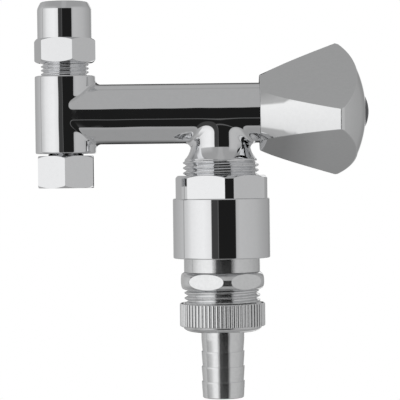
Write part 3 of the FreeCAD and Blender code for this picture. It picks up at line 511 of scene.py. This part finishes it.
# cast body: column, arm and neck are turned apart, then drawn together where they meet. A fillet is raised
# on both and their shading runs into one another, as on a polished casting
castBody = {
    "steps": 180, "edge": 0.4, "ease": 0.12,  # rims are cut back by edge, with one point between at ease
    # column, with the spigot and its ring groove under it and the stub for the tube on top
    "column": 10.5, "columnLow": 6.0, "columnHigh": 32.9, "columnRings": 80, "columnWall": 8.5,
    "columnBore": 6.5, "boreLow": 8.5, "boreHigh": 30.4, "water": 4.5,
    "spigot": 6.1, "spigotLow": 1.6, "groove": 5.5, "grooveLow": 1.9, "grooveHigh": 3.1,
    "stub": 7.474, "stubHigh": 43.4, "cone": 6.89, "coneLow": 40.3, "tube": 5.1, "tubeStop": 33.4,
    # arm, with the seat and the headwork's bores inside. Rings are (from, to, count), closer at the junctions
    "arm": 10.4, "armZ": 19.45, "armEnd": 69.0, "armWall": 9.0,
    "armRings": ((0.5, 16.0, 50), (17.0, 38.0, 10), (38.4, 68.6, 90)),
    "armBore": 6.4, "armBoreEnd": 43.0, "seatRing": 5.8, "seatFace": 47.0,
    "headBore": 7.6, "headBoreStart": 45.6, "headThread": 8.43, "headThreadStart": 59.4,
    # neck, with the flare and the spout that the check valve's housing is screwed on
    "neck": 10.3, "neckTop": 18.6, "neckRings": 40, "neckBore": 6.2,
    "flareTop": 8.75, "flareFrom": 8.6, "flareLow": 3.35, "flareRings": 20,
    "lip": 12.6, "lipLow": 2.85, "lipEdge": 0.1,
    "spout": 12.058, "spoutLow": -9.15, "spoutBore": 8.608, "spoutBoreTop": 0.35,
    # junctions: fillet, how far the branch runs out onto the main pipe, and how far the shading is softened
    "columnJoint": {"fillet": 1.8, "lean": 0.6, "soften": 0.9}, "pastColumn": (-0.5, 3.0),
    "neckJoint": {"fillet": 2.2, "lean": 0.5, "soften": 2.4}, "underArm": (1.0, 7.0),
    "skin": 0.0005, "inside": -1.5,  # how near its own pipe and how deep in the other a point is drawn
}


def spaced(first, last, count):
    return [first + (last - first) * index / count for index in range(count + 1)]


def smoothStep(low, high, value):
    share = min(1.0, max(0.0, (value - low) / (high - low)))
    return share * share * (3 - 2 * share)


def offColumn(point):
    radius = hypot(point.x, point.y)
    return radius / mm - castBody["column"], Vector((point.x / radius, point.y / radius, 0))


def offArm(point):
    height = point.z - castBody["armZ"] * mm
    radius = hypot(point.y, height)
    return radius / mm - castBody["arm"], Vector((0, point.y / radius, height / radius))


def offNeck(point):
    across = point.x - outletX * mm
    radius = hypot(across, point.y)
    return radius / mm - castBody["neck"], Vector((across / radius, point.y / radius, 0))


# branch is the pipe that joins main, and fade ends the joint at main's middle
def drawTogether(bm, own, main, branch, joint, fade):
    fillet, lean, soften = joint["fillet"], joint["lean"], joint["soften"]
    reach = max(fillet, soften + lean)
    layer = bm.verts.layers.float_vector.get("softNormal") or bm.verts.layers.float_vector.new("softNormal")
    other = branch if own is main else main
    for vert in bm.verts:
        ownOff, ownWay = own(vert.co)
        otherOff, otherWay = other(vert.co)
        weight = fade(vert.co)
        onSkin = abs(ownOff) <= castBody["skin"]
        if not onSkin or weight <= 0 or not castBody["inside"] < otherOff < reach:
            continue
        room = fillet * min(1.0, 1 - ownWay.dot(otherWay)) * weight
        if 0 < otherOff < room:
            near, far = 0.0, room  # how far the fillet lifts this point, by halving
            for _ in range(20):
                middle = (near + far) / 2
                off = other(vert.co + ownWay * middle * mm)[0]
                gap = max(room, min(middle, off)) - hypot(max(0, room - middle), max(0, room - off))
                near, far = (middle, far) if gap < 0 else (near, middle)
            vert.co += ownWay * near * mm
        mainOff, mainWay = main(vert.co)
        branchOff, branchWay = branch(vert.co)
        share = smoothStep(-soften, soften, mainOff - branchOff + lean) * weight
        vert[layer] = (branchWay * share + mainWay * (1 - share)).normalized()


def makeCastBody(n):
    edge, ease = n["edge"], n["ease"]

    def pastColumn(point):
        return smoothStep(*n["pastColumn"], point.x / mm)

    def underArm(point):
        return smoothStep(*n["underArm"], n["armZ"] - point.z / mm)

    radius, low, high = n["column"], n["columnLow"], n["columnHigh"]
    bm = turnBlank([
        (n["water"], n["spigotLow"]), (n["spigot"], n["spigotLow"]), (n["spigot"], n["grooveLow"]),
        (n["groove"], n["grooveLow"]), (n["groove"], n["grooveHigh"]), (n["spigot"], n["grooveHigh"]),
        (n["spigot"], low), (radius - edge, low), (radius - ease, low + ease),
        *[(radius, z) for z in spaced(low + edge, high - edge, n["columnRings"])],
        (radius - ease, high - ease), (radius - edge, high), (n["stub"], high),
        (n["stub"], n["stubHigh"] - edge), (n["stub"] - edge, n["stubHigh"]), (n["cone"], n["stubHigh"]),
        (n["tube"], n["coneLow"]), (n["tube"], n["tubeStop"]), (n["water"], n["tubeStop"]),
        (n["water"], n["boreHigh"]), (n["columnBore"], n["boreHigh"]), (n["columnBore"], n["boreLow"]),
        (n["water"], n["boreLow"]),
    ], n["steps"])
    drawTogether(bm, offColumn, offColumn, offArm, n["columnJoint"], pastColumn)

    # the arm's end follows the middle of the column's wall, and the neck's the middle of the arm's
    radius, end = n["arm"], n["armEnd"]
    alongArm = [x for rings in n["armRings"] for x in spaced(*rings)]
    arm = turnBlank([
        (n["armBore"], alongArm[0]), *[(radius, x) for x in alongArm], (radius - ease, end - ease),
        (radius - edge, end), (n["headThread"], end), (n["headThread"], n["headThreadStart"]),
        (n["headBore"], n["headThreadStart"]), (n["headBore"], n["headBoreStart"]),
        (n["seatRing"], n["headBoreStart"]), (n["seatRing"], n["seatFace"]), (n["water"], n["seatFace"]),
        (n["water"], n["armBoreEnd"]), (n["armBore"], n["armBoreEnd"]),
    ], n["steps"])
    lie = Matrix.Translation((0, 0, n["armZ"] * mm)) @ Matrix.Rotation(radians(90), 4, "Y")
    bmesh.ops.transform(arm, matrix=lie, verts=arm.verts[:])
    for vert in arm.verts:
        vert.co.x = max(vert.co.x, sqrt(max(0, (n["columnWall"] * mm) ** 2 - vert.co.y ** 2)))
    drawTogether(arm, offArm, offColumn, offArm, n["columnJoint"], pastColumn)
    drawTogether(arm, offArm, offArm, offNeck, n["neckJoint"], underArm)
    bmesh.ops.remove_doubles(arm, verts=arm.verts[:], dist=1e-6)

    # the flare is an arc from the neck's side to the lip
    radius, top, low, lip = n["neck"], n["flareTop"], n["flareLow"], n["lip"]
    arc = ((top - low) ** 2 + (lip - radius) ** 2) / (2 * (lip - radius))
    downFlare = spaced(n["flareFrom"], low, n["flareRings"])
    flare = [(radius + arc - sqrt(arc ** 2 - (top - z) ** 2), z) for z in downFlare]
    neck = turnBlank([
        (n["neckBore"], n["neckTop"]), *[(radius, z) for z in spaced(n["neckTop"], top, n["neckRings"])],
        *flare, (lip, n["lipLow"] + n["lipEdge"]), (lip - n["lipEdge"], n["lipLow"]),
        (n["spout"], n["lipLow"]), (n["spout"], n["spoutLow"] + edge), (n["spout"] - edge, n["spoutLow"]),
        (n["spoutBore"], n["spoutLow"]), (n["spoutBore"], n["spoutBoreTop"]),
        (n["neckBore"], n["spoutBoreTop"]),
    ], n["steps"], outletX)
    for vert in neck.verts:
        wall = sqrt(max(0, (n["armWall"] * mm) ** 2 - vert.co.y ** 2))
        vert.co.z = min(vert.co.z, n["armZ"] * mm - wall)
    drawTogether(neck, offNeck, offArm, offNeck, n["neckJoint"], underArm)
    bmesh.ops.remove_doubles(neck, verts=neck.verts[:], dist=1e-6)
    joinBlank(bm, arm)
    joinBlank(bm, neck)
    finishPiece(bm, "castBody", "castChrome", "valve", ["valve_body"])
    print("cast body drawn together")


makeCastBody(castBody)

# union nut under the column, threaded inside up to the washer. Lead is the chamfer into a bore
inletNut = {"apothem": 9.5, "corner": 10.97, "chamfer": 0.85, "turn": 2.1, "bore": 8.43, "relief": 8.73,
            "threadTop": 0.0, "neckHole": 6.35, "flange": 2.0, "lead": 0.4, "ease": 0.3,
            "leadRound": 0.1, "endRound": 0.2, "cornerRound": 0.25, "steps": 144}


def makeInletNut(n):
    low, high = heights("inlet_nut")
    seat, threadTop = high - n["flange"], n["threadTop"]
    bm = turnBlank([
        (n["bore"] + n["lead"], low, n["leadRound"]), (n["apothem"], low, n["endRound"]),
        (n["corner"], low + n["chamfer"], n["cornerRound"]),
        (n["corner"], high - n["chamfer"], n["cornerRound"]), (n["apothem"], high, n["endRound"]),
        (n["neckHole"], high, n["endRound"]), (n["neckHole"], seat), (n["relief"], seat),
        (n["relief"], threadTop), (n["bore"], threadTop), (n["bore"], low + n["lead"]),
    ], n["steps"])
    count = cutFlats(bm, n["apothem"], n["turn"], n["ease"])
    finishPiece(bm, "inletNut", "chrome", "inlet_nut", ["inlet_nut"])
    print("inlet nut:", count, "flats")


makeInletNut(inletNut)

# long nut on top, a hexagon under a sleeve
compressionNut = {"apothem": 9.6, "corner": 11.085, "chamfer": 0.86, "turn": 17.5, "hexHeight": 8.4,
                  "sleeve": 9.4, "topInset": 1.2, "topHeight": 2.4, "bore": 8.43, "coneLow": 44.494,
                  "coneTop": 47.594, "coneRadius": 6.89, "tube": 5.1, "lead": 0.4, "ease": 0.3,
                  "leadRound": 0.1, "endRound": 0.2, "cornerRound": 0.25, "stepRound": 0.12,
                  "shoulderRound": 0.6, "topRound": 0.5, "steps": 144}


def makeCompressionNut(n):
    low, high = heights("compression_nut")
    hexTop = low + n["hexHeight"]
    bm = turnBlank([
        (n["bore"] + n["lead"], low, n["leadRound"]), (n["apothem"], low, n["endRound"]),
        (n["corner"], low + n["chamfer"], n["cornerRound"]),
        (n["corner"], hexTop - n["chamfer"], n["cornerRound"]), (n["apothem"], hexTop, n["stepRound"]),
        (n["sleeve"], hexTop), (n["sleeve"], high - n["topHeight"], n["shoulderRound"]),
        (n["sleeve"] - n["topInset"], high, n["topRound"]), (n["tube"] + n["lead"], high, n["endRound"]),
        (n["tube"], high - n["lead"], n["leadRound"]), (n["tube"], n["coneTop"]),
        (n["coneRadius"], n["coneLow"]), (n["bore"], n["coneLow"]), (n["bore"], low + n["lead"]),
    ], n["steps"])
    count = cutFlats(bm, n["apothem"], n["turn"], n["ease"])
    finishPiece(bm, "compressionNut", "chrome", "compression_nut", ["compression_nut"])
    print("compression nut:", count, "flats")


makeCompressionNut(compressionNut)

# check valve housing: hexagon with turned corners, let into a longer sleeve
ventHousing = {"apothem": 15.0, "corner": 16.5, "chamfer": 0.866, "turn": 9.6, "hexHeight": 7.95,
               "sleeve": 16.85, "bore": 13.32, "clear": 0.04, "seat": -11.15, "water": 8.608, "floor": -13.15,
               "chamber": 12.0, "skirtTop": -24.7, "skirt": 14.9, "let": 0.1, "lead": 0.4, "ease": 0.3,
               "leadRound": 0.1, "endRound": 0.2, "cornerRound": 0.3, "skirtRound": 0.3, "sleeveRound": 0.45,
               "steps": 192}


def makeVentHousing(n):
    low, high = heights("vent_housing")
    hexLow = high - n["hexHeight"]
    bm = turnBlank([
        (n["skirt"], low, n["skirtRound"]), (n["sleeve"], low, n["sleeveRound"]),
        (n["sleeve"], hexLow, n["sleeveRound"]), (n["bore"], hexLow), (n["bore"], n["seat"]),
        (n["water"], n["seat"]), (n["water"], n["floor"]), (n["chamber"], n["floor"]),
        (n["chamber"], n["skirtTop"]), (n["skirt"], n["skirtTop"]),
    ], n["steps"], outletX)
    letLow, hexBore = hexLow - n["let"], n["bore"] + n["clear"]
    hexagon = turnBlank([
        (hexBore, letLow), (n["corner"], letLow), (n["corner"], high - n["chamfer"], n["cornerRound"]),
        (n["apothem"], high, n["endRound"]), (hexBore + n["lead"], high, n["leadRound"]),
        (hexBore, high - n["lead"], n["leadRound"]),
    ], n["steps"], outletX)
    count = cutFlats(hexagon, n["apothem"], n["turn"], n["ease"], outletX)
    joinBlank(bm, hexagon)
    finishPiece(bm, "ventHousing", "chrome", "valve", ["vent_housing"])
    print("vent housing:", count, "flats")


makeVentHousing(ventHousing)

# knurled nut with a smooth foot. The grooves are pressed into the turned blank
hoseNut = {"crest": 14.85, "depth": 0.5, "fullness": 0.4, "ridges": 62, "perRidge": 8, "ridgeStart": 0.25,
           "footHeight": 1.9, "foot": 13.7, "footEnd": 9.7, "footParts": 8, "bore": 13.32, "floor": 2.0,
           "tailHole": 7.71, "lead": 0.4, "leadRound": 0.1, "holeRound": 0.2}


def makeHoseNut(n):
    low, high = heights("hose_nut")
    knurlLow, floor = low + n["footHeight"], low + n["floor"]
    foot = []
    for part in range(n["footParts"] + 1):
        way = radians(90 - 90 * part / n["footParts"])
        across = n["foot"] - n["footEnd"]
        foot.append((n["footEnd"] + across * cos(way), knurlLow - n["footHeight"] * sin(way)))
    bm = turnBlank([
        (n["tailHole"], low, n["holeRound"]), *foot, (n["crest"], knurlLow, n["depth"]),
        (n["crest"], high, n["depth"]), (n["bore"] + n["lead"], high, n["leadRound"]),
        (n["bore"], high - n["lead"], n["leadRound"]), (n["bore"], floor), (n["tailHole"], floor),
    ], n["ridges"] * n["perRidge"], outletX)
    valley = n["crest"] - n["depth"]
    for vert in bm.verts:
        x, y = vert.co.x / mm - outletX, vert.co.y / mm
        radius = hypot(x, y)
        if radius < valley or vert.co.z / mm < knurlLow - 0.001:
            continue
        share = atan2(y, x) / (2 * pi) * n["ridges"] + n["ridgeStart"]
        ridge = valley + n["depth"] * abs(sin(pi * share)) ** n["fullness"]
        if radius > ridge:
            vert.co.x = (outletX + x * ridge / radius) * mm
            vert.co.y = y * ridge / radius * mm
    finishPiece(bm, "hoseNut", "turnedChrome", "hose_nut", ["hose_nut"])
    print("hose nut:", n["ridges"], "ridges")


makeHoseNut(hoseNut)

# barbed tail that the hose is pushed on, with a short straight shank over the first barb
hoseTail = {"flange": 12.7, "flangeHeight": 1.75, "outer": 7.46, "waist": 7.12, "bore": 5.3, "shankLow": -59.1,
            "barbs": (-63.28, -68.50, -73.72), "land": 0.5, "flangeRound": 0.2, "shankRound": 0.4,
            "barbRound": 0.06, "landRound": 0.15, "endRound": 0.4, "boreRound": 0.25, "steps": 128}


def makeHoseTail(n):
    low, high = heights("hose_tail")
    flangeLow, outer = high - n["flangeHeight"], n["outer"]
    corners = [
        (n["bore"], high, n["flangeRound"]), (n["flange"], high, n["flangeRound"]),
        (n["flange"], flangeLow, n["flangeRound"]), (outer, flangeLow), (outer, n["shankLow"], n["shankRound"]),
    ]
    for edge in n["barbs"]:
        corners += [(n["waist"], edge), (outer, edge, n["barbRound"]),
                    (outer, edge - n["land"], n["landRound"])]
    corners += [(n["waist"], low, n["endRound"]), (n["bore"], low, n["boreRound"])]
    bm = turnBlank(corners, n["steps"], outletX)
    finishPiece(bm, "hoseTail", "turnedChrome", "hose_tail", ["hose_tail"])
    print("hose tail:", len(n["barbs"]), "barbs")


makeHoseTail(hoseTail)

# coil spring under the check valve's poppet, wound here at one length, though on the valve it closes up as the
# poppet goes down
checkSpring = {"coil": 3.3, "wire": 0.35, "wireParts": 14, "turns": 3, "perTurn": 48,
               "low": -24.1, "high": -18.95, "keep": 0.605}


def windSpring(n):
    bm = bmesh.new()
    bmesh.ops.create_circle(bm, cap_ends=False, segments=n["wireParts"], radius=n["wire"] * mm)
    stand = Matrix.Translation(((outletX + n["coil"]) * mm, 0, (n["low"] + n["wire"]) * mm))
    bmesh.ops.transform(bm, matrix=stand @ Matrix.Rotation(radians(90), 4, "X"), verts=bm.verts[:])
    rim = bm.edges[:]
    steps = n["turns"] * n["perTurn"]
    rise = (n["high"] - n["low"] - 2 * n["wire"]) / steps
    wound = bmesh.ops.spin(bm, geom=bm.verts[:] + rim, cent=(outletX * mm, 0, 0), axis=(0, 0, 1),
                           dvec=(0, 0, rise * mm), angle=2 * pi * n["turns"], steps=steps)
    end = [part for part in wound["geom_last"] if isinstance(part, bmesh.types.BMEdge)]
    bmesh.ops.edgeloop_fill(bm, edges=rim)
    bmesh.ops.edgeloop_fill(bm, edges=end)
    bmesh.ops.recalc_face_normals(bm, faces=bm.faces[:])
    spring = finishPiece(bm, "checkSpring", "springSteel", "valve", ["check_spring"])
    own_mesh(spring)
    print("spring wound", n["turns"], "turns")


windSpring(checkSpring)

# screw threads: one ridge wound up each plain shank, and one inside the inlet nut. The form's foot and flat
# are parts of half a pitch, its rounding is part of a pitch, and each end sinks over runOut of a turn
threadForm = {"sunk": 0.2, "foot": 0.96, "flat": 0.2, "rounding": 0.09, "perTurn": 72, "runOut": 0.125}
threads = {
    "stubThread": {"root": 7.474, "crest": 8.33, "pitch": 1.337, "low": 32.2, "high": 43.0, "centreX": 0.0,
                   "finish": "chrome", "body": "valve"},
    "spoutThread": {"root": 12.058, "crest": 13.22, "pitch": 1.814, "low": -8.6, "high": 3.9,
                    "centreX": outletX, "finish": "chrome", "body": "valve"},
    "nippleThread": {"root": 12.058, "crest": 13.22, "pitch": 1.814, "low": -50.2, "high": -41.0,
                     "centreX": outletX, "finish": "turnedChrome", "body": "valve"},
    "inletThread": {"root": 8.43, "crest": 7.6, "pitch": 1.337, "low": -5.5, "high": -0.3, "centreX": 0.0,
                    "finish": "chrome", "body": "inlet_nut"},
}


def windThread(name, t, form):
    bm = bmesh.new()
    perTurn = form["perTurn"]
    sunkTo = t["root"] - form["sunk"] if t["crest"] > t["root"] else t["root"] + form["sunk"]
    half = t["pitch"] / 2
    foot, flat = form["foot"] * half, form["flat"] * half
    section = [(sunkTo, -foot), (t["crest"], -flat), (t["crest"], flat), (sunkTo, foot)]
    start = t["low"] + half
    wire = [bm.verts.new(((t["centreX"] + r) * mm, 0, (start + h) * mm)) for r, h in section]
    for first, second in zip(wire, wire[1:] + wire[:1]):
        bm.edges.new((first, second))
    for vert in wire[1:3]:
        bmesh.ops.bevel(bm, geom=[vert], offset=form["rounding"] * t["pitch"] * mm, offset_type="OFFSET",
                        segments=3, profile=0.5, affect="VERTICES", material=-1)
    rim = bm.edges[:]
    perRing = len(bm.verts)
    turns = (t["high"] - t["low"] - t["pitch"]) / t["pitch"]
    steps = int(turns * perTurn)
    wound = bmesh.ops.spin(bm, geom=bm.verts[:] + rim, cent=(t["centreX"] * mm, 0, 0), axis=(0, 0, 1),
                           dvec=(0, 0, t["pitch"] / perTurn * mm), angle=2 * pi * steps / perTurn, steps=steps)
    end = [part for part in wound["geom_last"] if isinstance(part, bmesh.types.BMEdge)]
    bmesh.ops.edgeloop_fill(bm, edges=rim)
    bmesh.ops.edgeloop_fill(bm, edges=end)
    bmesh.ops.recalc_face_normals(bm, faces=bm.faces[:])
    # the ridge sinks into its shank at each end
    for index, vert in enumerate(bm.verts):
        ring = index // perRing
        rise = min(1.0, min(ring, steps - ring) / (perTurn * form["runOut"]))
        x, y = vert.co.x / mm - t["centreX"], vert.co.y / mm
        radius = hypot(x, y)
        share = (sunkTo + (radius - sunkTo) * rise) / radius
        vert.co.x = (t["centreX"] + x * share) * mm
        vert.co.y = y * share * mm
    finishPiece(bm, name, t["finish"], t["body"])
    print(name, "wound", round(turns, 2), "turns")


for name, thread in threads.items():
    windThread(name, thread, threadForm)
